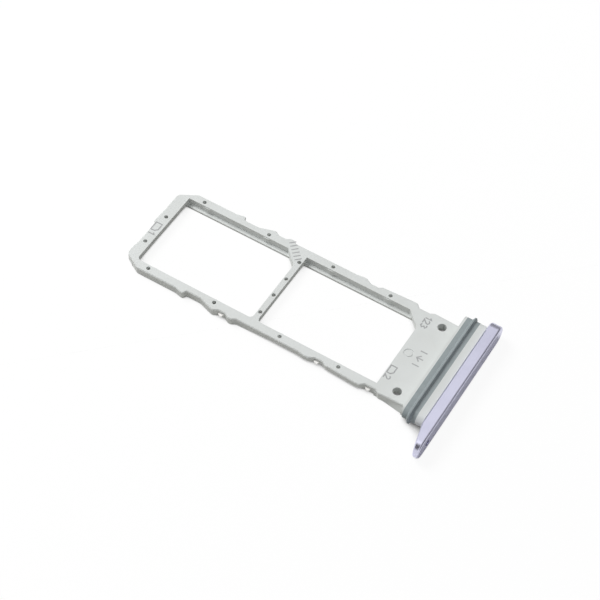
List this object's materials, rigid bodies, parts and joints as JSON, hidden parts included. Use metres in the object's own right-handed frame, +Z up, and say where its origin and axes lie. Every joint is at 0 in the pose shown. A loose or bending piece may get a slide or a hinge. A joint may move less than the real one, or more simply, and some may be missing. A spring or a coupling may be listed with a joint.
{
  "type": "sim card tray",
  "caption": "Slim in-line tray that carries nano cards end to end in cut-corner pockets, with a sealed neck and a rounded metal end cap with an eject-pin hole.",
  "frame": {"origin": "bottom centre of the tray's bounding box, on the surface it lies on", "axes": "+X along the tray towards the end cap, +Y across it towards the cut-corner side of the pockets, +Z up out of the pockets"},
  "size_m": [0.0342, 0.0166, 0.002],
  "materials": {
    "frame_plastic": "light grey moulded plastic, fine satin",
    "insert_steel": "bright stamped stainless sheet",
    "seal_silicone": "mid grey silicone, matt",
    "cap_metal": "pale lavender anodised, fine satin"
  },
  "bodies": {
    "root": {"tray_frame": "frame_plastic", "steel_insert": "insert_steel", "seal_ring": "seal_silicone", "end_cap": "cap_metal"}
  },
  "joints": []
}
